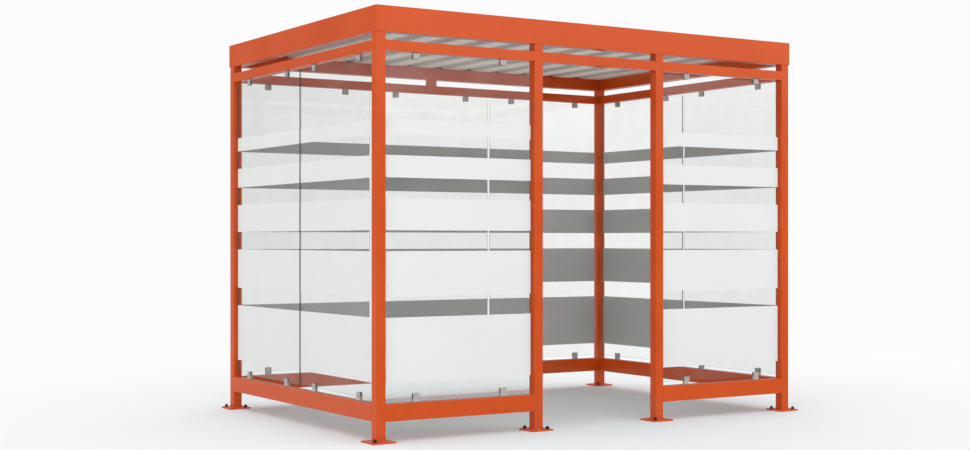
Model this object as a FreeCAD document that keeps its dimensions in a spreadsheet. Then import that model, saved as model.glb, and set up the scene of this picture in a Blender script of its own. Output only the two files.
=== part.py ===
import FreeCAD, Part
import math
import os
import Sketcher

# Smoking shelter: an open frame of square tube on base plates, a ring of box beams around a ribbed
# sheet roof, and clear glass walls held by small clamps on three sides and beside the entrance.
# The origin is on the ground in the middle of the footprint. X runs along the front to the right,
# Y to the back and Z up. All lengths are in millimetres.

# Driving dimensions: alias, value, meaning
driving_sizes = [
    ("footprint_length", 3165, "front, over the corner posts"),
    ("footprint_depth", 2150, "side, over the corner posts"),
    ("overall_height", 2500, "ground to the top of the roof beams"),
    ("entrance_clear", 875, "between the two middle posts"),
    ("post_side", 60, "square tube of the posts"),
    ("post_wall", 3, "wall of the posts"),
    ("tube_corner", 2, "outer corners of every tube"),
    ("base_side", 150, "square base plate"),
    ("base_thick", 10, "base plate"),
    ("anchor_edge", 25, "anchor hole's centre to the plate's edges"),
    ("anchor_hole", 14, "diameter of an anchor hole"),
    ("beam_height", 150, "roof beam's section"),
    ("beam_width", 70, "roof beam's section"),
    ("beam_wall", 3, "wall of the roof beams"),
    ("beam_lap", 5, "roof beam outside the posts"),
    ("rail_depth", 60, "all rails, through the wall"),
    ("rail_wall", 3, "wall of the rails"),
    ("top_rail_height", 60, "top rail's section"),
    ("top_rail_drop", 45, "open slot between top rail and roof beam"),
    ("low_rail_height", 100, "low rail's section"),
    ("low_rail_lift", 120, "ground to the low rail"),
    ("spacer_width", 60, "spacer over the back top rail"),
    ("glass_thick", 8, "glass pane"),
    ("glass_lift", 25, "low rail to glass"),
    ("glass_drop", 13, "glass to top rail"),
    ("glass_side_gap", 12, "post to pane"),
    ("glass_joint", 15, "pane to pane"),
    ("glass_arris", 1, "ground edge of a pane"),
    ("film_thick", 0.5, "film bands on the outer face"),
    ("film_margin", 2, "film band to the pane's side edge"),
    ("film_start", 118, "low rail to the lowest band"),
    ("film_height", 375, "lowest band"),
    ("film_shrink", 0.7, "height of a band as a share of the one below"),
    ("film_gap", 120, "clear glass between two bands"),
    ("clamp_width", 42, "glass clamp, along the wall"),
    ("clamp_depth", 22, "glass clamp, through the wall"),
    ("clamp_bite", 25, "glass covered by a clamp's jaws"),
    ("clamp_bevel", 2, "edges of a clamp's faces"),
    ("clamp_spacing", 600, "between the two clamps on one edge of a pane"),
    ("clamp_fit", 0.3, "free gap around the glass in a clamp"),
    ("sheet_thick", 1, "roof sheet"),
    ("sheet_drop", 68, "top of the beams down to the sheet's underside"),
    ("sheet_gap", 3, "sheet's edges to the beams"),
    ("rib_pitch", 250, "rib to rib"),
    ("rib_foot", 65, "open width of a rib at its foot"),
    ("rib_crown", 35, "width of a rib at its crown"),
    ("rib_height", 36, "rise of a rib"),
    ("rib_start", 6, "sheet's edge to its first rib"),
    ("angle_leg", 30, "angle under the sheet"),
    ("angle_thick", 3, "angle under the sheet"),
    ("cut_margin", 10, "cutting shapes run past the solid by this much"),
]
film_band_count = 5

doc = FreeCAD.newDocument("smoking_shelter")
sizes = doc.addObject("Spreadsheet::Sheet", "Sizes")
for row, (alias, value, meaning) in enumerate(driving_sizes, start=1):
    sizes.set(f"A{row}", alias)
    sizes.set(f"B{row}", str(value))
    sizes.set(f"C{row}", meaning)
    sizes.setAlias(f"B{row}", alias)
doc.recompute()

# Heights and lengths that follow from the driving dimensions
beam_bottom = "(Sizes.overall_height - Sizes.beam_height)"
post_length = f"({beam_bottom} - Sizes.base_thick)"
low_rail_top = "(Sizes.low_rail_lift + Sizes.low_rail_height)"
top_rail_top = f"({beam_bottom} - Sizes.top_rail_drop)"
top_rail_bottom = f"({top_rail_top} - Sizes.top_rail_height)"
side_reach = "((Sizes.footprint_length - Sizes.post_side) / 2)"
front_reach = "((Sizes.footprint_depth - Sizes.post_side) / 2)"
entrance_reach = "((Sizes.entrance_clear + Sizes.post_side) / 2)"
front_clear = "(Sizes.footprint_length - 2 * Sizes.post_side)"
side_clear = "(Sizes.footprint_depth - 2 * Sizes.post_side)"
bay_clear = "((Sizes.footprint_length - Sizes.entrance_clear) / 2 - 2 * Sizes.post_side)"
bay_centre = f"(({side_reach} + {entrance_reach}) / 2)"
glass_height = f"({top_rail_bottom} - {low_rail_top} - Sizes.glass_lift - Sizes.glass_drop)"
glass_middle = f"({low_rail_top} + Sizes.glass_lift + {glass_height} / 2)"
beam_ring_length = "(Sizes.footprint_length + 2 * Sizes.beam_lap)"
beam_ring_depth = "(Sizes.footprint_depth + 2 * Sizes.beam_lap)"
roof_length = f"({beam_ring_length} - 2 * Sizes.beam_width)"
roof_depth = f"({beam_ring_depth} - 2 * Sizes.beam_width)"
sheet_level = "(Sizes.overall_height - Sizes.sheet_drop)"
sheet_length = f"({roof_length} - 2 * Sizes.sheet_gap)"
sheet_depth = f"({roof_depth} - 2 * Sizes.sheet_gap)"

# The four walls are modelled alike: X along the wall, outside towards -Y, the middle plane at Y 0.
# Each entry gives the turn about Z and the X and Y of a point by its way along the wall and its reach.
walls = {
    "front": (0, "{along}", "-({reach})", front_reach),
    "right": (90, "{reach}", "{along}", side_reach),
    "back": (180, "-({along})", "{reach}", front_reach),
    "left": (270, "-({reach})", "-({along})", side_reach),
}


def evaluate(expression):
    return float(sizes.evalExpression(expression))


def origin_item(body, role):
    return next(item for item in body.Origin.OriginFeatures if item.Role == role)


def new_body(name):
    body = doc.addObject("PartDesign::Body", name)
    body.Label = name
    body.AllowCompound = True
    return body


def new_sketch(body, purpose, role):
    sketch = body.newObject("Sketcher::SketchObject", f"{body.Name}_{purpose}")
    sketch.AttachmentSupport = [(origin_item(body, role), "")]
    sketch.MapMode = "FlatFace"
    return sketch


def place(body, x, y, z, turn=0):
    body.Placement = FreeCAD.Placement(
        FreeCAD.Vector(), FreeCAD.Rotation(FreeCAD.Vector(0, 0, 1), turn))
    body.setExpression("Placement.Base.x", x)
    body.setExpression("Placement.Base.y", y)
    body.setExpression("Placement.Base.z", z)


def place_on_wall(body, wall, along, z, reach=None):
    turn, x_rule, y_rule, wall_reach = walls[wall]
    reach = reach or wall_reach
    x = x_rule.format(along=along, reach=reach)
    y = y_rule.format(along=along, reach=reach)
    place(body, x, y, z, turn)


# Sketch geometry, fully constrained and bound to the sheet
def bind_datum(sketch, constraint, expression):
    index = sketch.addConstraint(constraint)
    sketch.setExpression(f"Constraints[{index}]", expression)


def pin_point(sketch, edge, point, x, y):
    for kind, axis, expression in (("DistanceX", -2, x), ("DistanceY", -1, y)):
        value = evaluate(expression)
        if value == 0:
            sketch.addConstraint(Sketcher.Constraint("PointOnObject", edge, point, axis))
        else:
            bind_datum(sketch, Sketcher.Constraint(kind, -1, 1, edge, point, value), expression)


def draw_outline(sketch, corners):
    points = [FreeCAD.Vector(evaluate(x), evaluate(y), 0) for x, y in corners]
    first = sketch.GeometryCount
    count = len(points)
    for index in range(count):
        sketch.addGeometry(Part.LineSegment(points[index], points[(index + 1) % count]), False)
    for index in range(count):
        following = first + (index + 1) % count
        sketch.addConstraint(Sketcher.Constraint("Coincident", first + index, 2, following, 1))
    for index, (x, y) in enumerate(corners):
        pin_point(sketch, first + index, 1, x, y)


def draw_rectangle(sketch, left, bottom, width, height):
    right = f"{left} + {width}"
    top = f"{bottom} + {height}"
    draw_outline(sketch, [(left, bottom), (right, bottom), (right, top), (left, top)])


def draw_rounded_rectangle(sketch, width, height, radius):
    half_width = evaluate(width) / 2
    half_height = evaluate(height) / 2
    bend = evaluate(radius)
    first = sketch.GeometryCount
    straight_x = half_width - bend
    straight_y = half_height - bend
    sides = [
        ((-straight_x, -half_height), (straight_x, -half_height), "Horizontal"),
        ((half_width, -straight_y), (half_width, straight_y), "Vertical"),
        ((straight_x, half_height), (-straight_x, half_height), "Horizontal"),
        ((-half_width, straight_y), (-half_width, -straight_y), "Vertical"),
    ]
    bends = [
        (straight_x, -straight_y),
        (straight_x, straight_y),
        (-straight_x, straight_y),
        (-straight_x, -straight_y),
    ]
    quarter_turn = math.pi / 2
    upwards = FreeCAD.Vector(0, 0, 1)
    for turns, ((start, end, _), bend_centre) in enumerate(zip(sides, bends), start=-1):
        line = Part.LineSegment(FreeCAD.Vector(*start, 0), FreeCAD.Vector(*end, 0))
        sketch.addGeometry(line, False)
        circle = Part.Circle(FreeCAD.Vector(*bend_centre, 0), upwards, bend)
        start_angle = turns * quarter_turn
        sketch.addGeometry(Part.ArcOfCircle(circle, start_angle, start_angle + quarter_turn), False)
    for index in range(4):
        line = first + 2 * index
        arc = line + 1
        next_line = first + 2 * ((index + 1) % 4)
        sketch.addConstraint(Sketcher.Constraint(sides[index][2], line))
        sketch.addConstraint(Sketcher.Constraint("Tangent", line, 2, arc, 1))
        sketch.addConstraint(Sketcher.Constraint("Tangent", arc, 2, next_line, 1))
    for arc in (first + 3, first + 5, first + 7):
        sketch.addConstraint(Sketcher.Constraint("Equal", first + 1, arc))
    bind_datum(sketch, Sketcher.Constraint("Radius", first + 1, bend), radius)
    full_width = Sketcher.Constraint("DistanceX", first + 6, 1, first + 2, 1, 2 * half_width)
    bind_datum(sketch, full_width, width)
    full_height = Sketcher.Constraint("DistanceY", first, 1, first + 4, 1, 2 * half_height)
    bind_datum(sketch, full_height, height)
    sketch.addConstraint(Sketcher.Constraint("Symmetric", first + 1, 3, first + 5, 3, -1, 1))


# Features
def add_pad(body, sketch, length, side_type="Symmetric"):
    pad = body.newObject("PartDesign::Pad", f"{body.Name}_pad")
    pad.Profile = sketch
    pad.SideType = side_type
    pad.setExpression("Length", length)
    doc.recompute()
    return pad


def add_pocket(body, sketch, length, side_type="Symmetric"):
    volume_before = body.Shape.Volume
    pocket = body.newObject("PartDesign::Pocket", f"{body.Name}_pocket")
    pocket.Profile = sketch
    pocket.SideType = side_type
    pocket.Reversed = side_type == "One side"
    pocket.setExpression("Length", length)
    doc.recompute()
    if not body.Shape.Volume < volume_before:
        raise ValueError(f"{pocket.Label} cuts nothing")
    return pocket


# Repeats the features given, or the whole body, in rows along X and then mirrored in origin planes
def add_copies(body, rows=(), mirror_roles=(), originals=()):
    steps = []
    for pitch, count in rows:
        if evaluate(count) > 1:
            row = body.newObject("PartDesign::LinearPattern", f"{body.Name}_row")
            row.Direction = (origin_item(body, "X_Axis"), [""])
            row.setExpression("Length", f"{pitch} * ({count} - 1)")
            row.setExpression("Occurrences", count)
            steps.append(row)
    for role in mirror_roles:
        mirror = body.newObject("PartDesign::Mirrored", f"{body.Name}_mirror")
        mirror.MirrorPlane = (origin_item(body, role), [""])
        steps.append(mirror)
    if not steps:
        return
    copies = body.newObject("PartDesign::MultiTransform", f"{body.Name}_copies")
    if originals:
        copies.Originals = originals
    else:
        copies.TransformMode = "Whole shape"
    copies.Transformations = steps
    body.Tip = copies
    doc.recompute()


def faces_towards(shape, axis):
    normals = [abs(getattr(face.normalAt(0, 0), axis)) for face in shape.Faces]
    return [f"Face{index}" for index, normal in enumerate(normals, start=1) if round(normal) == 1]


# Rectangular hollow section with eased corners outside and square ones inside
def add_tube(name, role, width, height, wall, length, side_type="Symmetric"):
    body = new_body(name)
    profile = new_sketch(body, "profile", role)
    draw_rounded_rectangle(profile, width, height, "Sizes.tube_corner")
    bore_width = f"({width} - 2 * {wall})"
    bore_height = f"({height} - 2 * {wall})"
    draw_rectangle(profile, f"-{bore_width} / 2", f"-{bore_height} / 2", bore_width, bore_height)
    add_pad(body, profile, length, side_type)
    return body


# Posts, with their feet on the base plates and their heads under the roof beams
post_places = {
    "post_front_left": (f"-{side_reach}", f"-{front_reach}"),
    "post_front_mid_left": (f"-{entrance_reach}", f"-{front_reach}"),
    "post_front_mid_right": (entrance_reach, f"-{front_reach}"),
    "post_front_right": (side_reach, f"-{front_reach}"),
    "post_back_right": (side_reach, front_reach),
    "post_back_left": (f"-{side_reach}", front_reach),
}
for post_name, (post_x, post_y) in post_places.items():
    post = add_tube(post_name, "XY_Plane", "Sizes.post_side", "Sizes.post_side",
                    "Sizes.post_wall", post_length, "One side")
    place(post, post_x, post_y, "Sizes.base_thick")


# Base plates under the posts, each with two anchor holes on a diagonal. The diagonals alternate: the
# left half mirrors the right one, and the front corners mirror the back ones.
def draw_hole(sketch, x, y, diameter):
    centre = FreeCAD.Vector(evaluate(x), evaluate(y), 0)
    size = evaluate(diameter)
    edge = sketch.addGeometry(Part.Circle(centre, FreeCAD.Vector(0, 0, 1), size / 2), False)
    bind_datum(sketch, Sketcher.Constraint("Diameter", edge, size), diameter)
    pin_point(sketch, edge, 3, x, y)


def add_base_plate(body, x, y, mirror_roles):
    half_side = "Sizes.base_side / 2"
    anchor_reach = f"({half_side} - Sizes.anchor_edge)"
    sketch = new_sketch(body, "plate", "XY_Plane")
    left = f"{x} - {half_side}"
    front = f"{y} - {half_side}"
    draw_rectangle(sketch, left, front, "Sizes.base_side", "Sizes.base_side")
    draw_hole(sketch, f"{x} - {anchor_reach}", f"{y} - {anchor_reach}", "Sizes.anchor_hole")
    draw_hole(sketch, f"{x} + {anchor_reach}", f"{y} + {anchor_reach}", "Sizes.anchor_hole")
    plate = add_pad(body, sketch, "Sizes.base_thick", "One side")
    add_copies(body, mirror_roles=mirror_roles, originals=[plate])


base_plates = new_body("base_plates")
add_base_plate(base_plates, side_reach, front_reach, ["YZ_Plane", "XZ_Plane"])
add_base_plate(base_plates, entrance_reach, f"-{front_reach}", ["YZ_Plane"])
place(base_plates, "0", "0", "0")


# Rails between the posts: low rails on every glazed side, top rails all round
def add_rail(name, wall, along, length, height, bottom):
    rail = add_tube(name, "YZ_Plane", "Sizes.rail_depth", height, "Sizes.rail_wall", length)
    place_on_wall(rail, wall, along, f"{bottom} + {height} / 2")


# Glazed spans: wall, middle of the span along it, clear length, and panes in the order of the wall's X
spans = {
    "front_left": ("front", f"-{bay_centre}", bay_clear, ["front_left"]),
    "front_right": ("front", bay_centre, bay_clear, ["front_right"]),
    "right": ("right", "0", side_clear, ["right_front", "right_back"]),
    "back": ("back", "0", front_clear, ["back_right", "back_middle", "back_left"]),
    "left": ("left", "0", side_clear, ["left_back", "left_front"]),
}
for span_name, (wall, along, clear, _) in spans.items():
    add_rail(f"low_rail_{span_name}", wall, along, clear,
             "Sizes.low_rail_height", "Sizes.low_rail_lift")
    add_rail(f"top_rail_{span_name}", wall, along, clear,
             "Sizes.top_rail_height", top_rail_bottom)
add_rail("top_rail_entrance", "front", "0", "Sizes.entrance_clear",
         "Sizes.top_rail_height", top_rail_bottom)

# Spacer that carries the long back beam at mid length on its top rail
spacer = add_tube("back_beam_spacer", "XY_Plane", "Sizes.spacer_width", "Sizes.rail_depth",
                  "Sizes.rail_wall", "Sizes.top_rail_drop", "One side")
place_on_wall(spacer, "back", "0", top_rail_top)


# Roof beams: box section on edge, mitred where they meet at the corners
def cut_mitres(body, length):
    sketch = new_sketch(body, "mitre", "XY_Plane")
    far_x = f"{length} / 2 + Sizes.cut_margin"
    far_y = "Sizes.beam_width / 2 + Sizes.cut_margin"
    draw_outline(sketch, [
        (far_x, f"-({far_y})"),
        (far_x, far_y),
        (f"{length} / 2 - Sizes.beam_width - Sizes.cut_margin", far_y),
    ])
    mitre = add_pocket(body, sketch, "Sizes.beam_height + 2 * Sizes.cut_margin")
    add_copies(body, mirror_roles=["YZ_Plane"], originals=[mitre])


for wall, beam_length in (("front", beam_ring_length), ("right", beam_ring_depth),
                          ("back", beam_ring_length), ("left", beam_ring_depth)):
    beam = add_tube(f"roof_beam_{wall}", "YZ_Plane", "Sizes.beam_width", "Sizes.beam_height",
                    "Sizes.beam_wall", beam_length)
    cut_mitres(beam, beam_length)
    beam_reach = f"({walls[wall][3]} + Sizes.post_side / 2 + Sizes.beam_lap - Sizes.beam_width / 2)"
    place_on_wall(beam, wall, "0", f"{beam_bottom} + Sizes.beam_height / 2", beam_reach)


# Angles on the inner faces of the front and back beams, which carry the roof sheet
for wall in ("front", "back"):
    angle_beam_reach = f"({walls[wall][3]} + Sizes.post_side / 2 + Sizes.beam_lap - Sizes.beam_width)"
    angle = new_body(f"sheet_angle_{wall}")
    angle_profile = new_sketch(angle, "profile", "YZ_Plane")
    draw_outline(angle_profile, [
        ("0", "0"),
        ("Sizes.angle_leg", "0"),
        ("Sizes.angle_leg", "-Sizes.angle_thick"),
        ("Sizes.angle_thick", "-Sizes.angle_thick"),
        ("Sizes.angle_thick", "-Sizes.angle_leg"),
        ("0", "-Sizes.angle_leg"),
    ])
    add_pad(angle, angle_profile, roof_length)
    place_on_wall(angle, wall, "0", sheet_level, angle_beam_reach)

# Roof sheet: a flat web with narrow ribs pressed upwards. A rib is a slot in the flat, bridged by a
# folded hat of the sheet's own thickness. The ribs run from front to back.
rib_slope = "((Sizes.rib_foot - Sizes.rib_crown) / 2)"
rib_mitre = f"(Sizes.sheet_thick * tan(atan(Sizes.rib_height / {rib_slope}) / 2))"
rib_left = f"(Sizes.rib_start - {sheet_length} / 2)"
rib_count = f"(1 + floor(({sheet_length} - Sizes.rib_start - Sizes.rib_foot) / Sizes.rib_pitch))"

roof_sheet = new_body("roof_sheet")
flat_sketch = new_sketch(roof_sheet, "flat", "XY_Plane")
draw_rectangle(flat_sketch, f"-{sheet_length} / 2", f"-{sheet_depth} / 2",
               sheet_length, sheet_depth)
add_pad(roof_sheet, flat_sketch, "Sizes.sheet_thick", "One side")
slot_sketch = new_sketch(roof_sheet, "rib_slot", "XZ_Plane")
draw_rectangle(slot_sketch, rib_left, "-Sizes.cut_margin", "Sizes.rib_foot",
               "Sizes.sheet_thick + 2 * Sizes.cut_margin")
rib_slot = add_pocket(roof_sheet, slot_sketch, f"{sheet_depth} + 2 * Sizes.cut_margin")
hat_sketch = new_sketch(roof_sheet, "rib_hat", "XZ_Plane")
hat_under = [
    (rib_left, "0"),
    (f"{rib_left} + {rib_slope}", "Sizes.rib_height"),
    (f"{rib_left} + Sizes.rib_foot - {rib_slope}", "Sizes.rib_height"),
    (f"{rib_left} + Sizes.rib_foot", "0"),
]
hat_top = "Sizes.rib_height + Sizes.sheet_thick"
hat_over = [
    (f"{rib_left} + Sizes.rib_foot + {rib_mitre}", "Sizes.sheet_thick"),
    (f"{rib_left} + Sizes.rib_foot - {rib_slope} + {rib_mitre}", hat_top),
    (f"{rib_left} + {rib_slope} - {rib_mitre}", hat_top),
    (f"{rib_left} - {rib_mitre}", "Sizes.sheet_thick"),
]
draw_outline(hat_sketch, hat_under + hat_over)
rib_hat = add_pad(roof_sheet, hat_sketch, sheet_depth)
add_copies(roof_sheet, [("Sizes.rib_pitch", rib_count)], originals=[rib_slot, rib_hat])
place(roof_sheet, "0", "0", sheet_level)


# Glass panes, clear of the rails and of each other, with ground edges
def add_pane(name, wall, along, width):
    pane = new_body(name)
    outline = new_sketch(pane, "outline", "XZ_Plane")
    draw_rectangle(outline, f"-{width} / 2", f"-{glass_height} / 2", width, glass_height)
    plate = add_pad(pane, outline, "Sizes.glass_thick")
    arris = pane.newObject("PartDesign::Chamfer", f"{name}_arris")
    arris.Base = (plate, faces_towards(plate.Shape, "y"))
    arris.setExpression("Size", "Sizes.glass_arris")
    doc.recompute()
    place_on_wall(pane, wall, along, glass_middle)


# Opaque bands of film on the outer face of the glass, lower towards the top
def add_film(name, wall, along, width, pitch, count):
    film = new_body(name)
    bands = new_sketch(film, "bands", "XZ_Plane")
    left = f"-(({count} - 1) * {pitch} + {width}) / 2 + Sizes.film_margin"
    bottom = f"{low_rail_top} + Sizes.film_start"
    height = "Sizes.film_height"
    for _ in range(film_band_count):
        draw_rectangle(bands, left, bottom, f"({width} - 2 * Sizes.film_margin)", height)
        bottom = f"{bottom} + {height} + Sizes.film_gap"
        height = f"{height} * Sizes.film_shrink"
    add_pad(film, bands, "Sizes.film_thick")
    add_copies(film, [(pitch, count)])
    film_reach = f"({walls[wall][3]} + (Sizes.glass_thick + Sizes.film_thick) / 2)"
    place_on_wall(film, wall, along, "0", film_reach)


# Glass clamps: two jaws on a foot that is screwed to the rail. One hangs from the top rail over one
# on the low rail, and the pair is repeated along the pane and on the next panes.
def add_clamps(name, wall, along, pitch, count):
    clamps = new_body(name)
    left = f"-(({count} - 1) * {pitch} + Sizes.clamp_spacing + Sizes.clamp_width) / 2"
    upper_height = "(Sizes.glass_drop + Sizes.clamp_bite)"
    lower_height = "(Sizes.glass_lift + Sizes.clamp_bite)"
    front = new_sketch(clamps, "front", "XZ_Plane")
    draw_rectangle(front, left, f"{glass_height} / 2 - Sizes.clamp_bite",
                   "Sizes.clamp_width", upper_height)
    draw_rectangle(front, left, f"-{glass_height} / 2 - Sizes.glass_lift",
                   "Sizes.clamp_width", lower_height)
    blocks = add_pad(clamps, front, "Sizes.clamp_depth")
    bevels = clamps.newObject("PartDesign::Chamfer", f"{name}_bevels")
    bevels.Base = (blocks, faces_towards(blocks.Shape, "y"))
    bevels.setExpression("Size", "Sizes.clamp_bevel")
    doc.recompute()
    slot = new_sketch(clamps, "slot", "XY_Plane")
    slot_width = "(Sizes.glass_thick + 2 * Sizes.clamp_fit)"
    draw_rectangle(slot, f"{left} - Sizes.cut_margin", f"-{slot_width} / 2",
                   "Sizes.clamp_width + 2 * Sizes.cut_margin", slot_width)
    add_pocket(clamps, slot, f"{glass_height} + 2 * Sizes.clamp_fit")
    add_copies(clamps, [("Sizes.clamp_spacing", "2"), (pitch, count)])
    place_on_wall(clamps, wall, along, glass_middle)


for span_name, (wall, along, clear, panes) in spans.items():
    pane_count = len(panes)
    joints = f"{pane_count - 1} * Sizes.glass_joint"
    pane_width = f"(({clear} - 2 * Sizes.glass_side_gap - {joints}) / {pane_count})"
    pane_pitch = f"({pane_width} + Sizes.glass_joint)"
    for index, pane_name in enumerate(panes):
        pane_along = f"({along} + ({index} - ({pane_count} - 1) / 2) * {pane_pitch})"
        add_pane(f"glass_{pane_name}", wall, pane_along, pane_width)
    add_film(f"film_bands_{span_name}", wall, along, pane_width, pane_pitch, str(pane_count))
    add_clamps(f"glass_clamps_{span_name}", wall, along, pane_pitch, str(pane_count))

# Every object is sound before anything is written
doc.recompute()
for item in doc.Objects:
    if {"Invalid", "Error"} & set(item.State):
        raise ValueError(f"{item.Label} failed: {item.State}")
bodies = [item for item in doc.Objects if item.TypeId == "PartDesign::Body"]
for body in bodies:
    if body.Shape.isNull() or not body.Shape.isValid():
        raise ValueError(f"{body.Label} has no valid shape")
os.makedirs("parts", exist_ok=True)
for body in bodies:
    body.Shape.exportStep(f"parts/{body.Label}.step")
    print(body.Label, len(body.Shape.Solids), round(body.Shape.Volume))
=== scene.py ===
import math

import bpy
import numpy as np
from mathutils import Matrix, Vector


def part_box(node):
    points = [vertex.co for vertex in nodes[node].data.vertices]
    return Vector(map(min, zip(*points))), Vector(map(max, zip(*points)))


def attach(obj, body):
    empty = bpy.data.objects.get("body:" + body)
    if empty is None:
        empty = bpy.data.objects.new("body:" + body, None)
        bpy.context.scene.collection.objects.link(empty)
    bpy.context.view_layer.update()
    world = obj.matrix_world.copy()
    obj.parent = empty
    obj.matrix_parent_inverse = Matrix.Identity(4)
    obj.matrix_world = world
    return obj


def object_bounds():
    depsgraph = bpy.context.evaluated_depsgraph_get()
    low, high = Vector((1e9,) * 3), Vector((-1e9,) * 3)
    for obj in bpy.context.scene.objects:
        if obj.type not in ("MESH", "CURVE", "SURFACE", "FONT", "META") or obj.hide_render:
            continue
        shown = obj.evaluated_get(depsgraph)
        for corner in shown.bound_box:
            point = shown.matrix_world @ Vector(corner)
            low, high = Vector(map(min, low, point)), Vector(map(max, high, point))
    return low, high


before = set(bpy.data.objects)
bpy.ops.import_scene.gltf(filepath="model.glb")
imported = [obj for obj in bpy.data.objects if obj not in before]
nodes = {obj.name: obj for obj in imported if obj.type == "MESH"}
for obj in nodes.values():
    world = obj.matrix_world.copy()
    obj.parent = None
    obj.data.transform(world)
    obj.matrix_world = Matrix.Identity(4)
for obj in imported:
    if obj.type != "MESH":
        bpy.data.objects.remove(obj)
cadBounds = [list(corner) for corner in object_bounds()]
cadHigh = cadBounds[1]
print("frame loaded:", len(nodes), "nodes")


# Node trees, for materials and for Geometry Nodes alike. An operator on a value adds its Math node.
def mathsNode(operation, reflected=False):
    def combine(self, value):
        return self.maths(operation, *((value, self) if reflected else (self, value)))
    return combine


class Value:
    # one output of a node, which can be used in sums
    def __init__(self, graph, output):
        self.graph, self.output = graph, output

    def other(self, name):
        return Value(self.graph, self.output.node.outputs[name])

    def maths(self, operation, *values):
        inputs = dict(enumerate(values))
        return self.graph.add("ShaderNodeMath", {"operation": operation}, inputs)

    def __abs__(self):
        return self.maths("ABSOLUTE", self)

    __add__ = mathsNode("ADD")
    __radd__ = mathsNode("ADD", True)
    __sub__ = mathsNode("SUBTRACT")
    __rsub__ = mathsNode("SUBTRACT", True)
    __mul__ = mathsNode("MULTIPLY")
    __rmul__ = mathsNode("MULTIPLY", True)
    __truediv__ = mathsNode("DIVIDE")
    __rtruediv__ = mathsNode("DIVIDE", True)
    __pow__ = mathsNode("POWER")
    __mod__ = mathsNode("FLOORED_MODULO")
    __lt__ = mathsNode("LESS_THAN")
    __gt__ = mathsNode("GREATER_THAN")


class Graph:
    def __init__(self, tree):
        self.tree = tree

    def add(self, kind, settings=None, inputs=None, output=0):
        node = self.tree.nodes.new(kind)
        for name, value in (settings or {}).items():
            if name == "stops":
                self.setStops(node.color_ramp, value)
            else:
                setattr(node, name, value)
        for name, value in (inputs or {}).items():
            for item in value if isinstance(value, list) else [value]:
                self.put(node.inputs[name], item)
        return Value(self, node.outputs[output]) if node.outputs else node

    def put(self, socket, value):
        if isinstance(value, Value):
            self.tree.links.new(value.output, socket)
        elif value is not None:
            socket.default_value = value

    def setStops(self, ramp, stops):
        while len(ramp.elements) < len(stops):
            ramp.elements.new(1.0)
        for element, (position, shade) in zip(ramp.elements, stops):
            element.position = position
            element.color = (shade, shade, shade, 1.0)

    def vector(self, operation, *values, output=0):
        return self.add("ShaderNodeVectorMath", {"operation": operation},
                        dict(enumerate(values)), output)

    def split(self, vector):
        x = self.add("ShaderNodeSeparateXYZ", {}, {"Vector": vector})
        return x, x.other("Y"), x.other("Z")

    def join(self, x, y, z):
        return self.add("ShaderNodeCombineXYZ", {}, {"X": x, "Y": y, "Z": z})

    def remap(self, value, low, high, newLow=0.0, newHigh=1.0):
        return self.add("ShaderNodeMapRange", {"clamp": True}, {
            "Value": value, "From Min": low, "From Max": high,
            "To Min": newLow, "To Max": newHigh})

    def noise(self, vector, scale, detail=2.0, roughness=0.5):
        return self.add("ShaderNodeTexNoise", {"noise_dimensions": "3D"}, {
            "Vector": vector, "Scale": scale, "Detail": detail, "Roughness": roughness})

    def blend(self, factor, first, second):
        settings = {"data_type": "RGBA", "blend_type": "MIX"}
        return self.add("ShaderNodeMix", settings, {0: factor, 6: first, 7: second}, 2)

    def bump(self, height, distance, normal=None):
        return self.add("ShaderNodeBump", {}, {
            "Strength": 1.0, "Distance": distance, "Height": height, "Normal": normal})


def colour(red, green, blue):
    # a screen colour, 0 to 255, as the linear one that shaders take
    def linear(level):
        share = level / 255
        return share / 12.92 if share <= 0.04045 else ((share + 0.055) / 1.055) ** 2.4
    return (linear(red), linear(green), linear(blue), 1.0)


def newMaterial(name):
    material = bpy.data.materials.new(name)
    material.use_nodes = True
    material.node_tree.nodes.clear()
    graph = Graph(material.node_tree)
    place = graph.add("ShaderNodeTexCoord", {}, {}, "Object")
    return material, graph, place


def closeMaterial(graph, surface):
    graph.add("ShaderNodeOutputMaterial", {}, {"Surface": surface})


# Powder coat on all the steel of the frame
powderCoat = {
    "colour": colour(213, 83, 24),
    "deeper": colour(205, 76, 19),
    "dust": colour(214, 150, 118),
    "roughness": 0.18,
    "gloss": 0.45,
    "cloudScale": 2.3,
    "speckScale": 60.0,
    "splashScale": 14.0,
    "splashTop": 0.32,
    "splashShare": 0.12,
    "peelScale": 520.0,
    "peelDepth": 0.00004,
    "mitreWidth": 0.0012,
    "mitreShade": 0.45,
    "mitreDepth": 4.0,
    "mitreFoot": 2.3505,
}


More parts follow.
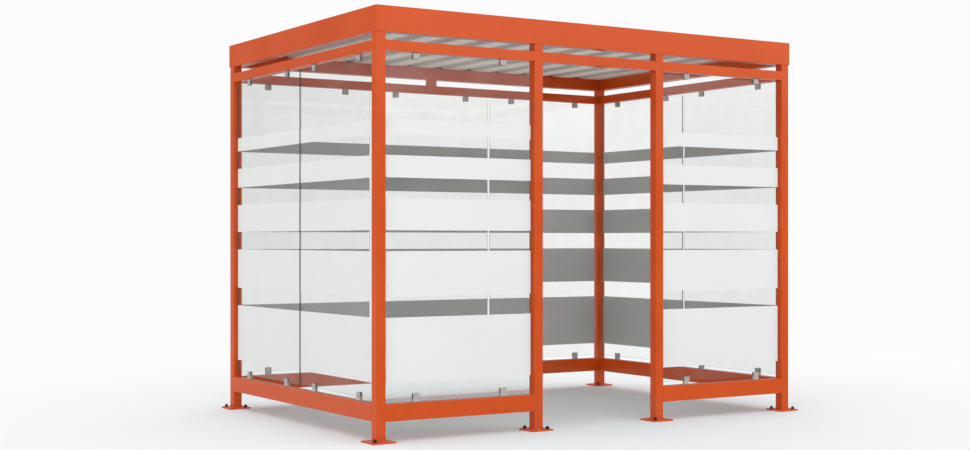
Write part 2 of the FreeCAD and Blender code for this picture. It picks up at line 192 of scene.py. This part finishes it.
def makePowderCoat(name):
    material, graph, place = newMaterial(name)
    x, y, z = graph.split(place)
    geometry = graph.add("ShaderNodeNewGeometry", {}, {}, "Normal")
    upward = graph.split(geometry)[2]
    clouds = graph.noise(place, powderCoat["cloudScale"], 3.0)
    specks = graph.noise(place, powderCoat["speckScale"], 4.0, 0.6)
    tone = graph.remap(clouds * 0.7 + specks * 0.3, 0.35, 0.65)
    paint = graph.blend(tone, powderCoat["deeper"], powderCoat["colour"])
    low = graph.remap(z, 0.0, powderCoat["splashTop"], 1.0, 0.0)
    splashes = graph.remap(graph.noise(place, powderCoat["splashScale"], 5.0, 0.65), 0.45, 0.7)
    settled = graph.remap(upward, 0.6, 0.95) * graph.remap(specks, 0.3, 0.7, 0.05, 0.22)
    dust = low * low * splashes * powderCoat["splashShare"] + settled
    paint = graph.blend(dust, paint, powderCoat["dust"])
    peel = graph.noise(place, powderCoat["peelScale"], 2.0)
    # the beams' mitres run at 45 degrees from the ring's corners
    corner = abs(x) - abs(y) - (cadHigh[0] - cadHigh[1])
    mitre = (abs(corner) < powderCoat["mitreWidth"]) * (z > powderCoat["mitreFoot"])
    paint = graph.blend(mitre * powderCoat["mitreShade"], paint, powderCoat["deeper"])
    normal = graph.bump(peel - mitre * powderCoat["mitreDepth"], powderCoat["peelDepth"])
    surface = graph.add("ShaderNodeBsdfPrincipled", {}, {
        "Base Color": paint,
        "Roughness": powderCoat["roughness"] + (specks - 0.5) * 0.16 + dust * 0.4,
        "Specular IOR Level": powderCoat["gloss"],
        "Normal": normal})
    closeMaterial(graph, surface)
    return material


# Light grey coil coating on the roof sheet
coilCoat = {
    "colour": colour(247, 246, 239),
    "streak": colour(238, 236, 228),
    "weathered": colour(203, 203, 199),
    "grime": colour(128, 122, 112),
    # painted shade: a darker colour for the sheet's underside beside each rib, and how far from a rib's
    # middle it reaches
    "hollow": colour(190, 187, 178),
    "hollowReach": 0.07,
    "roughness": 0.42,
}
ribs = {"pitch": 0.25, "count": 12, "start": 0.0385}
sheetLow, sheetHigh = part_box("roof_sheet")
ribPitch = ribs["pitch"]
ribCentres = [sheetLow.x + ribs["start"] + index * ribPitch for index in range(ribs["count"])]


def makeCoilCoat(name):
    material, graph, place = newMaterial(name)
    x, y, z = graph.split(place)
    geometry = graph.add("ShaderNodeNewGeometry", {}, {}, "Normal")
    upward = graph.split(geometry)[2]
    along = graph.join(x * 30.0, y * 1.2, z * 30.0)
    rolling = graph.noise(along, 1.0, 4.0, 0.6)
    paint = graph.blend(graph.remap(rolling, 0.3, 0.7), coilCoat["streak"], coilCoat["colour"])
    paint = graph.blend((upward > -0.05) * 0.9, paint, coilCoat["weathered"])
    stains = graph.remap(graph.noise(place, 5.0, 5.0, 0.65), 0.48, 0.75)
    grime = graph.remap(upward, 0.2, 0.9) * stains * 0.2
    paint = graph.blend(grime, paint, coilCoat["grime"])
    # Painted shade: beside each rib the underside is painted darker, in place of the shade inside the
    # rib's hollow; the stain noise varies its strength a little
    beside = abs((x - ribCentres[0] + ribPitch / 2) % ribPitch - ribPitch / 2)
    reach = coilCoat["hollowReach"]
    hollow = graph.remap(beside, reach - 0.005, reach + 0.003, 1.0, 0.0) * (upward < -0.05)
    paint = graph.blend(hollow * (0.85 + stains * 0.15), paint, coilCoat["hollow"])
    grain = graph.noise(place, 900.0, 2.0)
    surface = graph.add("ShaderNodeBsdfPrincipled", {}, {
        "Base Color": paint,
        "Roughness": coilCoat["roughness"] + (rolling - 0.5) * 0.2 + grime * 0.4,
        "Specular IOR Level": 0.4,
        "Normal": graph.bump(grain, 0.00002)})
    closeMaterial(graph, surface)
    return material


# Clear toughened glass. What it mirrors grows with the angle, and light passes straight through. The
# covers say how much of the dark ground edge shows, in front of a wall's middle and behind it.
clearGlass = {
    "tint": (0.984, 0.991, 0.986, 1.0),
    "edge": colour(62, 78, 72),
    "topEdgeCover": 0.15,
    "coversAlongX": (0.3, 0.3),
    "coversAlongY": (0.2, 0.95),
    "headOn": 0.043,
    "haze": 0.05,
    "dust": (0.8, 0.8, 0.78, 1.0),
    "shine": (1.0, 1.0, 1.0, 1.0),
    "shineRoughness": 0.02,
}


def makeClearGlass(name, across, covers):
    material, graph, place = newMaterial(name)
    facing = graph.add("ShaderNodeLayerWeight", {}, {"Blend": 0.5}, "Facing")
    mirrored = clearGlass["headOn"] + (1 - clearGlass["headOn"]) * facing ** 5.0
    through = graph.add("ShaderNodeBsdfTransparent", {}, {"Color": clearGlass["tint"]})
    shine = graph.add("ShaderNodeBsdfAnisotropic", {}, {
        "Color": clearGlass["shine"], "Roughness": clearGlass["shineRoughness"]})
    pane = graph.add("ShaderNodeMixShader", {}, {0: mirrored, 1: through, 2: shine})
    smears = graph.noise(place, 3.0, 5.0, 0.7)
    haze = graph.remap(smears, 0.4, 0.8) * clearGlass["haze"]
    dust = graph.add("ShaderNodeBsdfDiffuse", {}, {"Color": clearGlass["dust"]})
    pane = graph.add("ShaderNodeMixShader", {}, {0: haze, 1: pane, 2: dust})
    normal = graph.add("ShaderNodeNewGeometry", {}, {}, "Normal")
    flat = abs(graph.vector("DOT_PRODUCT", normal, across, output="Value"))
    tall = abs(graph.split(normal)[2])
    upright = graph.remap(graph.split(place)[1], -0.001, 0.001, *covers)
    cover = graph.remap(tall, 0.3, 0.9, upright, clearGlass["topEdgeCover"])
    edge = (flat < 0.9) * cover
    ground = graph.noise(place, 400.0, 2.0)
    rim = graph.add("ShaderNodeBsdfPrincipled", {}, {
        "Base Color": clearGlass["edge"],
        "Roughness": 0.25 + ground * 0.2,
        "Normal": graph.bump(ground, 0.00003)})
    closeMaterial(graph, graph.add("ShaderNodeMixShader", {}, {0: edge, 1: pane, 2: rim}))
    return material


# Printed film, white on both sides
bandFilm = {
    "outside": colour(233, 234, 234),
    "inside": colour(206, 207, 207),
    "mottle": colour(120, 122, 122),
    "mottleShare": 0.05,
    "roughness": 0.33,
}


def makeBandFilm(name):
    material, graph, place = newMaterial(name)
    normal = graph.add("ShaderNodeNewGeometry", {}, {}, "Normal")
    level = graph.vector("MULTIPLY", place, (1.0, 1.0, 0.0))
    outward = graph.vector("DOT_PRODUCT", normal, level, output="Value") > 0.0
    mottle = graph.noise(place, 1.7, 4.0, 0.6)
    grain = graph.noise(place, 850.0, 2.0)
    printed = graph.blend(outward, bandFilm["inside"], bandFilm["outside"])
    shade = graph.remap(mottle * 0.8 + grain * 0.2, 0.3, 0.7, 0.0, bandFilm["mottleShare"])
    printed = graph.blend(shade, printed, bandFilm["mottle"])
    surface = graph.add("ShaderNodeBsdfPrincipled", {}, {
        "Base Color": printed,
        "Roughness": bandFilm["roughness"] + grain * 0.12,
        "Specular IOR Level": 0.4,
        "Normal": graph.bump(grain, 0.000015)})
    closeMaterial(graph, surface)
    return material


# Metals and rubber of the small parts
smallParts = {"stained": 0.72, "bloom": colour(104, 103, 100), "rubberRoughness": 0.62}


def makeMetal(name, tint, roughness, brushed, metallic):
    material, graph, place = newMaterial(name)
    x, y, z = graph.split(place)
    brush = graph.noise(graph.join(x * 18.0, y * 18.0, z * 900.0), 1.0, 3.0, 0.6)
    cast = graph.noise(place, 700.0, 3.0, 0.6)
    grain = brush if brushed else cast
    stain = graph.remap(graph.noise(place, 45.0, 4.0), 0.4, 0.75)
    darker = tuple(level * smallParts["stained"] for level in tint[:3]) + (1.0,)
    surface = graph.add("ShaderNodeBsdfPrincipled", {}, {
        "Base Color": graph.blend(stain * 0.5 + grain * 0.3, tint, darker),
        "Metallic": metallic,
        "Roughness": roughness + (grain - 0.5) * 0.25 + stain * 0.06,
        "Normal": graph.bump(grain, 0.00003)})
    closeMaterial(graph, surface)
    return material


def makeRubber(name, tint):
    material, graph, place = newMaterial(name)
    grain = graph.noise(place, 1100.0, 2.0)
    bloom = graph.remap(graph.noise(place, 120.0, 4.0), 0.4, 0.8)
    surface = graph.add("ShaderNodeBsdfPrincipled", {}, {
        "Base Color": graph.blend(bloom * 0.4, tint, smallParts["bloom"]),
        "Roughness": smallParts["rubberRoughness"] + grain * 0.2,
        "Normal": graph.bump(grain, 0.00003)})
    closeMaterial(graph, surface)
    return material


orange = makePowderCoat("powderCoatOrange")
sheetGrey = makeCoilCoat("coilCoatGrey")
glassAlongX = makeClearGlass("clearGlassFrontAndBack", (0.0, 1.0, 0.0), clearGlass["coversAlongX"])
glassAlongY = makeClearGlass("clearGlassSides", (1.0, 0.0, 0.0), clearGlass["coversAlongY"])
film = makeBandFilm("bandFilm")
clampSteel = makeMetal("brushedClampSteel", colour(200, 198, 195), 0.36, brushed=True, metallic=0.3)
screwSteel = makeMetal("brightScrewSteel", colour(250, 250, 248), 0.3, brushed=False, metallic=0.2)
blackSteel = makeMetal("blackenedAnchorSteel", colour(44, 40, 38), 0.42, brushed=False, metallic=0.7)
rubber = makeRubber("sealRubber", colour(74, 74, 73))
foam = makeRubber("closureFoam", colour(26, 26, 27))

for name, node in nodes.items():
    if name.startswith("glass_clamps"):
        finish = clampSteel
    elif name.startswith("glass_"):
        wall = name.split("_")[1]
        finish = glassAlongX if wall in ("front", "back") else glassAlongY
    elif name.startswith("film"):
        finish = film
    elif name == "roof_sheet":
        finish = sheetGrey
    else:
        finish = orange
    for materialSlot in node.material_slots:
        materialSlot.material = finish
print("materials on", len(nodes), "nodes")


# A tree's named inputs, with their values, and its one output
def newTree(name, values):
    tree = bpy.data.node_groups.new(name, "GeometryNodeTree")
    tree.interface.new_socket("Geometry", in_out="INPUT", socket_type="NodeSocketGeometry")
    tree.interface.new_socket("Geometry", in_out="OUTPUT", socket_type="NodeSocketGeometry")
    for label, value in values.items():
        kind = "NodeSocketInt" if isinstance(value, int) else "NodeSocketFloat"
        tree.interface.new_socket(label, in_out="INPUT", socket_type=kind)
    graph = Graph(tree)
    first = graph.add("NodeGroupInput", {}, {}, "Geometry")
    return graph, first, {label: first.other(label) for label in values}


def closeTree(graph, geometry, material):
    real = graph.add("GeometryNodeRealizeInstances", {}, {"Geometry": geometry})
    done = graph.add("GeometryNodeSetMaterial", {}, {"Geometry": real, "Material": material})
    graph.add("NodeGroupOutput", {}, {"Geometry": done})
    return graph.tree


# Grows one piece: each place is a point and the turn that brings the unit's Z to where it faces
def growPiece(name, places, tree, values):
    host = bpy.data.meshes.new(name + "_places")
    host.from_pydata([point for point, turn in places], [], [])
    turns = host.attributes.new("turn", "FLOAT_VECTOR", "POINT")
    turns.data.foreach_set("vector", [part for point, turn in places for part in turn])
    holder = bpy.data.objects.new(name + "_holder", host)
    bpy.context.scene.collection.objects.link(holder)
    modifier = holder.modifiers.new(name, "NODES")
    modifier.node_group = tree
    for item in tree.interface.items_tree:
        if item.in_out == "INPUT" and item.name in values:
            modifier[item.identifier] = values[item.name]
    grown = holder.evaluated_get(bpy.context.evaluated_depsgraph_get())
    mesh = bpy.data.meshes.new_from_object(grown)
    mesh.name = name
    holder.modifiers.remove(modifier)
    bpy.data.objects.remove(holder)
    piece = bpy.data.objects.new(name, mesh)
    bpy.context.scene.collection.objects.link(piece)
    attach(piece, "root")
    print(name, len(places), "places", len(mesh.polygons), "faces")
    return piece


def standOnPlaces(graph, points, unit, seed=None, spin=0.0):
    turn = graph.add("GeometryNodeInputNamedAttribute", {"data_type": "FLOAT_VECTOR"},
                     {"Name": "turn"}, "Attribute")
    stood = graph.add("GeometryNodeInstanceOnPoints", {}, {
        "Points": points, "Instance": unit, "Rotation": turn})
    if seed is None:
        return stood
    angle = graph.add("FunctionNodeRandomValue", {"data_type": "FLOAT"}, {
        2: 0.0, 3: spin, "Seed": seed}, 1)
    return graph.add("GeometryNodeRotateInstances", {}, {
        "Instances": stood, "Rotation": graph.join(0.0, 0.0, angle), "Local Space": True})


# A round or six-sided body from its underside at the height lift. Each step is a rise and the radius
# there, and the first step is a plain cylinder.
def turned(graph, sides, steps, lift=0.0):
    wall, radius = steps[0]
    body = graph.add("GeometryNodeMeshCylinder", {"fill_type": "NGON"}, {
        "Vertices": sides, "Radius": radius, "Depth": wall}, "Mesh")
    top = body.other("Top")
    for rise, nextRadius in steps[1:]:
        body = graph.add("GeometryNodeExtrudeMesh", {"mode": "FACES"}, {
            "Mesh": body, "Selection": top, "Offset Scale": rise, "Individual": False}, "Mesh")
        top = body.other("Top")
        body = graph.add("GeometryNodeScaleElements", {"domain": "FACE"}, {
            "Geometry": body, "Selection": top, "Scale": nextRadius / radius})
        radius = nextRadius
    return graph.add("GeometryNodeTransform", {}, {
        "Geometry": body, "Translation": graph.join(0.0, 0.0, lift + wall / 2)})


def merge(graph, *parts):
    return graph.add("GeometryNodeJoinGeometry", {}, {"Geometry": list(parts)})


# Where the feet stand, and on which diagonal their anchors are
postPlaces = {}
for name in nodes:
    if name.startswith("post_"):
        low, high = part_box(name)
        postPlaces[name] = ((low.x + high.x) / 2, (low.y + high.y) / 2)
diagonals = {
    "post_front_left": 1, "post_front_mid_left": -1, "post_front_mid_right": 1,
    "post_front_right": -1, "post_back_right": 1, "post_back_left": -1,
}

# Anchors in the base plates: a washer and a domed nut
anchors = {
    "Washer radius": 0.012, "Washer height": 0.0025, "Washer bevel": 0.0004,
    "Nut radius": 0.01097, "Nut height": 0.0072, "Nut chamfer": 0.0009,
    "Dome radius": 0.0086, "Dome rise": 0.0078, "Seed": 4,
}
anchorLayout = {"reach": 0.05, "domeSteps": 6}
graph, points, inputs = newTree("anchorTree", anchors)
washerBevel = inputs["Washer bevel"]
washer = turned(graph, 36, [
    (inputs["Washer height"] - washerBevel, inputs["Washer radius"]),
    (washerBevel, inputs["Washer radius"] - washerBevel)])
nutSteps = [(inputs["Nut height"], inputs["Nut radius"]),
            (inputs["Nut chamfer"], inputs["Nut radius"] - inputs["Nut chamfer"])]
nut = turned(graph, 6, nutSteps, inputs["Washer height"])
domeLift = inputs["Washer height"] + inputs["Nut height"] + inputs["Nut chamfer"] / 2
domeSteps = anchorLayout["domeSteps"]
arcs = [math.radians(90 * step / domeSteps) for step in range(domeSteps)]
dome = [(inputs["Nut chamfer"], inputs["Dome radius"])]
for before, after in zip(arcs, arcs[1:]):
    rise = math.sin(after) - math.sin(before)
    dome.append((inputs["Dome rise"] * rise, inputs["Dome radius"] * math.cos(after)))
crown = turned(graph, 24, dome, domeLift)
crown = graph.add("GeometryNodeSetShadeSmooth", {}, {"Geometry": crown, "Shade Smooth": True})
stood = standOnPlaces(graph, points, merge(graph, washer, nut, crown), inputs["Seed"], math.tau)
tree = closeTree(graph, stood, blackSteel)
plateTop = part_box("base_plates")[1].z
places = []
for name, (x, y) in postPlaces.items():
    for side in (-1, 1):
        step = side * anchorLayout["reach"]
        places.append(((x + step, y + step * diagonals[name], plateTop), (0.0, 0.0, 0.0)))
growPiece("anchor_bolts", places, tree, anchors)

# Weld beads round the feet of the posts
beads = {
    "Post side": 0.06, "Corner radius": 0.002, "Bead radius": 0.0034,
    "Ripple length": 0.0022, "Ripple depth": 0.12, "Seed": 11,
}
graph, points, inputs = newTree("beadTree", beads)
outline = graph.add("GeometryNodeCurvePrimitiveQuadrilateral", {"mode": "RECTANGLE"}, {
    "Width": inputs["Post side"], "Height": inputs["Post side"]})
outline = graph.add("GeometryNodeFilletCurve", {"mode": "POLY"}, {
    "Curve": outline, "Count": 3, "Radius": inputs["Corner radius"]})
outline = graph.add("GeometryNodeResampleCurve", {"mode": "LENGTH"}, {
    "Curve": outline, "Length": inputs["Ripple length"] / 2})
index = graph.add("GeometryNodeInputIndex")
where = graph.add("GeometryNodeInputPosition")
uneven = graph.noise(where, 130.0, 2.0)
ripple = 1 + inputs["Ripple depth"] * ((index % 2.0) - 0.5) + (uneven - 0.5) * 0.5
section = graph.add("GeometryNodeCurvePrimitiveCircle", {}, {
    "Resolution": 10, "Radius": inputs["Bead radius"]})
bead = graph.add("GeometryNodeCurveToMesh", {}, {
    "Curve": outline, "Profile Curve": section, "Scale": ripple, "Fill Caps": False})
bead = graph.add("GeometryNodeSetShadeSmooth", {}, {"Geometry": bead, "Shade Smooth": True})
tree = closeTree(graph, standOnPlaces(graph, points, bead), orange)
places = [((x, y, plateTop), (0.0, 0.0, 0.0)) for x, y in postPlaces.values()]
growPiece("foot_weld_beads", places, tree, beads)


clampForm = {"gap": 0.05, "depth": 0.022}


# Every clamp by its loose solids: its middle on its rail, its wall's turn, whether it hangs from the top
# rail (1) or stands on the low one (-1), and its height
def clampPlaces():
    found = []
    turns = {"front": 0.0, "right": 90.0, "back": 180.0, "left": 270.0}
    for name in sorted(nodes):
        if not name.startswith("glass_clamps"):
            continue
        wall = name.split("_")[2]
        axis = 0 if wall in ("front", "back") else 1
        corners = np.array([vertex.co for vertex in nodes[name].data.vertices])
        low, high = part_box(name)
        level = (low.z + high.z) / 2
        upper = corners[corners[:, 2] > level]
        lower = corners[corners[:, 2] < level]
        order = np.sort(corners[:, axis])
        breaks = np.nonzero(np.diff(order) > clampForm["gap"])[0]
        starts = np.concatenate([order[:1], order[breaks + 1]])
        ends = np.concatenate([order[breaks], order[-1:]])
        for start, end in zip(starts, ends):
            spot = [(low.x + high.x) / 2, (low.y + high.y) / 2]
            spot[axis] = float(start + end) / 2
            turn = math.radians(turns[wall])
            found.append((*spot, high.z, turn, 1, float(high.z - upper[:, 2].min())))
            found.append((*spot, low.z, turn, -1, float(lower[:, 2].max() - low.z)))
    return found


clampSpots = clampPlaces()
print("clamps:", len(clampSpots))

# Screws in the rail half of each clamp: a low round head with a six-sided socket
clampScrews = {
    "Head radius": 0.0048, "Head height": 0.0022, "Head chamfer": 0.0009,
    "Socket radius": 0.002, "Socket depth": 0.0014, "Seed": 21,
}
screwLayout = {"spread": 0.0103, "drop": 0.0088}
graph, points, inputs = newTree("clampScrewTree", clampScrews)
wall = inputs["Head height"] - inputs["Head chamfer"]
head = graph.add("GeometryNodeMeshCylinder", {"fill_type": "NGON"}, {
    "Vertices": 24, "Radius": inputs["Head radius"], "Depth": wall}, "Mesh")
crown = graph.add("GeometryNodeExtrudeMesh", {"mode": "FACES"}, {
    "Mesh": head, "Selection": head.other("Top"), "Offset Scale": inputs["Head chamfer"],
    "Individual": False}, "Mesh")
narrow = graph.add("GeometryNodeScaleElements", {"domain": "FACE"}, {
    "Geometry": crown, "Selection": crown.other("Top"),
    "Scale": 1 - inputs["Head chamfer"] / inputs["Head radius"]})
lip = graph.add("GeometryNodeExtrudeMesh", {"mode": "FACES"}, {
    "Mesh": narrow, "Selection": crown.other("Top"), "Offset Scale": 0.0,
    "Individual": False}, "Mesh")
px, py, pz = graph.split(graph.add("GeometryNodeInputPosition"))
sixth = math.pi / 3
bearing = py.maths("ARCTAN2", py, px)
reach = inputs["Socket radius"] / ((bearing + sixth / 2) % sixth - sixth / 2).maths(
    "COSINE", (bearing + sixth / 2) % sixth - sixth / 2)
length = (px * px + py * py) ** 0.5
socket = graph.add("GeometryNodeSetPosition", {}, {
    "Geometry": lip, "Selection": lip.other("Top"),
    "Position": graph.join(px * reach / length, py * reach / length, pz)})
sunk = graph.add("GeometryNodeExtrudeMesh", {"mode": "FACES"}, {
    "Mesh": socket, "Selection": lip.other("Top"), "Offset Scale": 0 - inputs["Socket depth"],
    "Individual": False}, "Mesh")
unit = graph.add("GeometryNodeTransform", {}, {
    "Geometry": sunk, "Translation": graph.join(0.0, 0.0, wall / 2)})
stood = standOnPlaces(graph, points, unit, inputs["Seed"], math.tau)
tree = closeTree(graph, stood, screwSteel)
places = []
for x, y, z, turn, rail, height in clampSpots:
    outward = clampForm["depth"] / 2
    for side in (-1, 1):
        along = side * screwLayout["spread"]
        places.append((
            (x + math.sin(turn) * outward + math.cos(turn) * along,
             y - math.cos(turn) * outward + math.sin(turn) * along,
             z - rail * screwLayout["drop"]),
            (math.radians(90), 0.0, turn)))
growPiece("clamp_screws", places, tree, clampScrews)

# Rubber between glass and clamp, standing out of the jaw by a narrow lip
liners = {"Width": 0.0428, "Thickness": 0.00024, "Reach": 0.0245, "Lip": 0.0009, "Glass": 0.0081}
graph, points, inputs = newTree("linerTree", liners)
strips = []
for side in (-1.0, 1.0):
    strip = graph.add("GeometryNodeMeshCube", {}, {
        "Size": graph.join(inputs["Width"], inputs["Thickness"], inputs["Reach"])}, "Mesh")
    level = (inputs["Glass"] + inputs["Thickness"]) * (side / 2)
    strips.append(graph.add("GeometryNodeTransform", {}, {
        "Geometry": strip,
        "Translation": graph.join(0.0, level, inputs["Reach"] / 2 - inputs["Lip"])}))
tree = closeTree(graph, standOnPlaces(graph, points, merge(graph, *strips)), rubber)
places = []
for x, y, z, turn, rail, height in clampSpots:
    tip = 0.0 if rail > 0 else math.pi
    places.append(((x, y, z - rail * height), (0.0, tip, turn)))
growPiece("clamp_liners", places, tree, liners)

# Dark foam closures in both ends of every rib, a little inside its end and above the sheet's underside
closureSeat = {"end": 0.001, "lift": 0.0003}
closures = {
    "Foot": 0.0636, "Crown": 0.0342, "Height": 0.0352, "Depth": 0.022, "Cell depth": 0.0006,
    "Seed": 31,
}
graph, points, inputs = newTree("closureTree", closures)
block = graph.add("GeometryNodeMeshCube", {}, {
    "Size": graph.join(inputs["Foot"], inputs["Depth"], inputs["Height"]),
    "Vertices X": 17, "Vertices Y": 7, "Vertices Z": 10}, "Mesh")
px, py, pz = graph.split(graph.add("GeometryNodeInputPosition"))
rise = pz / inputs["Height"] + 0.5
narrowing = 1 - rise * (1 - inputs["Crown"] / inputs["Foot"])
ragged = graph.noise(graph.add("GeometryNodeInputPosition"), 260.0, 3.0)
inset = (ragged - 0.5) * inputs["Cell depth"]
shaped = graph.add("GeometryNodeSetPosition", {}, {
    "Geometry": block,
    "Position": graph.join(px * narrowing, py + inset, pz + inputs["Height"] / 2)})
tree = closeTree(graph, standOnPlaces(graph, points, shaped), foam)
inward = closures["Depth"] / 2 + closureSeat["end"]
closureLift = sheetLow.z + closureSeat["lift"]
places = []
for x in ribCentres:
    for y in (sheetLow.y + inward, sheetHigh.y - inward):
        places.append(((x, y, closureLift), (0.0, 0.0, 0.0)))
growPiece("rib_closures", places, tree, closures)

# Self-drilling screws with washers, through the flats into the angles
sheetScrews = {
    "Washer radius": 0.0075, "Washer height": 0.0016, "Head radius": 0.0046, "Head height": 0.0042,
    "Head chamfer": 0.0006, "Seed": 41,
}
graph, points, inputs = newTree("sheetScrewTree", sheetScrews)
washer = turned(graph, 24, [(inputs["Washer height"] / 2, inputs["Washer radius"]),
                            (inputs["Washer height"] / 2, inputs["Washer radius"] * 0.8)])
head = turned(graph, 6, [
    (inputs["Head height"], inputs["Head radius"]),
    (inputs["Head chamfer"], inputs["Head radius"] - inputs["Head chamfer"])],
    inputs["Washer height"])
stood = standOnPlaces(graph, points, merge(graph, washer, head), inputs["Seed"], math.tau)
tree = closeTree(graph, stood, clampSteel)
sheetThick = 0.001
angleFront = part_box("sheet_angle_front")
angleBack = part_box("sheet_angle_back")
flatTop = sheetLow.z + sheetThick
places = []
for x in ribCentres[:-1]:
    for low, high in (angleFront, angleBack):
        places.append(((x + ribPitch / 2, (low.y + high.y) / 2, flatTop), (0.0, 0.0, 0.0)))
growPiece("sheet_screws", places, tree, sheetScrews)

# Camera of the photograph
cameraSetup = {
    "place": (-5.57595, -8.61640, 1.15575), "turn": -32.0526, "lens": 55.549,
    "rise": 0.016109,
}
camera = bpy.data.objects.new("camera", bpy.data.cameras.new("camera"))
camera.location = cameraSetup["place"]
camera.rotation_euler = (math.radians(90), 0.0, math.radians(cameraSetup["turn"]))
camera.data.sensor_width = 36.0
camera.data.lens = cameraSetup["lens"]
camera.data.shift_y = cameraSetup["rise"]
camera.data.clip_end = 200.0
bpy.context.scene.collection.objects.link(camera)
bpy.context.scene.camera = camera

# Pale floor, which turns into the plain background far out
studio = {
    # the cooler floor colour near the shelter is painted light, against the orange cast that bounced
    # light gives the shade under the roof
    "floor": (0.852, 0.863, 0.868, 1.0), "paintedCoolFloor": (0.805, 0.863, 0.883, 1.0),
    "background": 0.97, "sky": 1.1, "fadeStart": 3.0, "fadeEnd": 9.0, "floorHalf": 60.0,
    "mirroredFloor": 0.14, "mirroredNear": 0.5, "mirroredFar": 0.6,
    "mottle": (0.7, 0.7, 0.69, 1.0), "white": (1.0, 1.0, 1.0, 1.0),
}
half = studio["floorHalf"]
floorMesh = bpy.data.meshes.new("floor")
floorMesh.from_pydata([(-half, -half, 0), (half, -half, 0), (half, half, 0), (-half, half, 0)],
                      [], [(0, 1, 2, 3)])
floor = bpy.data.objects.new("floor", floorMesh)
bpy.context.scene.collection.objects.link(floor)
material, graph, place = newMaterial("paleFloor")
distance = graph.vector("LENGTH", place, output="Value")
far = graph.remap(distance, studio["fadeStart"], studio["fadeEnd"])
mottle = graph.remap(graph.noise(place, 6.0, 4.0), 0.3, 0.7, 0.0, 0.02)
ray = graph.add("ShaderNodeLightPath", {}, {}, "Is Camera Ray")
glossy = ray.other("Is Glossy Ray")
shown = ray + ray.other("Is Transmission Ray")
shown = shown.maths("MINIMUM", shown, 1.0)
# Painted light: near the shelter the floor turns cooler, to cancel the orange cast of bounced light in
# the shade under the roof
below = graph.remap(distance, 2.6, 1.3)
ground = graph.blend(below, studio["floor"], studio["paintedCoolFloor"])
matt = graph.add("ShaderNodeBsdfPrincipled", {}, {
    "Base Color": graph.blend(mottle, ground, studio["mottle"]),
    "Roughness": 1.0, "Specular IOR Level": 0.0})
glow = graph.add("ShaderNodeEmission", {}, {
    "Color": studio["white"], "Strength": studio["background"]})
lit = graph.add("ShaderNodeMixShader", {}, {0: far * shown, 1: matt, 2: glow})
outside = graph.remap(distance, 2.0, 3.0, studio["mirroredNear"], studio["mirroredFar"])
ahead = graph.remap(graph.split(place)[1], -1.0, -3.0)
ahead = (outside + ahead * (1 - outside)) * glossy
shaded = graph.add("ShaderNodeEmission", {}, {
    "Color": studio["white"], "Strength": studio["mirroredFloor"]})
closeMaterial(graph, graph.add("ShaderNodeMixShader", {}, {0: ahead, 1: lit, 2: shaded}))
floorMesh.materials.append(material)

# Mirrored rays find the room's dark side low in front of the shelter and a dimmer one behind it
mirrored = {"low": 0.05, "high": 0.105, "dark": 0.04, "behind": 0.75}
world = bpy.data.worlds.new("studio")
world.use_nodes = True
world.node_tree.nodes.clear()
graph = Graph(world.node_tree)
towards = graph.add("ShaderNodeTexCoord", {}, {}, "Generated")
x, y, z = graph.split(towards)
ahead = graph.remap(y, -0.5, 0.0, 1.0, 0.0)
dimAhead = graph.remap(z, mirrored["low"], mirrored["high"], 1.0, 0.0)
dimBehind = graph.remap(z, 0.2, 0.6, mirrored["behind"], 0.0)
dim = dimBehind + ahead * (dimAhead - dimBehind)
ray = graph.add("ShaderNodeLightPath", {}, {}, "Is Camera Ray")
seen = ray + ray.other("Is Transmission Ray")
glossy = ray.other("Is Glossy Ray")
plain = graph.remap(seen, 0.0, 1.0, studio["sky"], studio["background"])
reflected = studio["background"] * (1 - dim * (1 - mirrored["dark"]))
strength = plain * (1 - glossy) + glossy * reflected
backdrop = graph.add("ShaderNodeBackground", {}, {
    "Color": studio["white"], "Strength": strength})
graph.add("ShaderNodeOutputWorld", {}, {"Surface": backdrop})
bpy.context.scene.world = world

# Soft light from above, and a fill from the camera's side
lamps = {
    "top": {"strength": 0.12, "spread": 30.0, "turn": (10.8, 0.0, -56.0)},
    "front": {"strength": 0.17, "spread": 50.0, "turn": (72.0, 0.0, -8.0)},
}
for name, values in lamps.items():
    lamp = bpy.data.lights.new(name, "SUN")
    lamp.energy = values["strength"]
    lamp.angle = math.radians(values["spread"])
    holder = bpy.data.objects.new(name, lamp)
    holder.rotation_euler = tuple(math.radians(angle) for angle in values["turn"])
    bpy.context.scene.collection.objects.link(holder)

# Reflector on the floor, which lightens the roof and the room from below
reflector = {"power": 3.0, "length": 2.8, "depth": 1.7, "lift": 0.01}
lamp = bpy.data.lights.new("reflector", "AREA")
lamp.shape = "RECTANGLE"
lamp.energy = reflector["power"]
lamp.size = reflector["length"]
lamp.size_y = reflector["depth"]
holder = bpy.data.objects.new("reflector", lamp)
holder.location = (0.0, 0.0, reflector["lift"])
holder.rotation_euler = (math.pi, 0.0, 0.0)
holder.visible_camera = False
holder.visible_glossy = False
holder.visible_transmission = False
bpy.context.scene.collection.objects.link(holder)

bpy.context.scene.view_settings.view_transform = "Standard"
print("camera, floor and lights set")
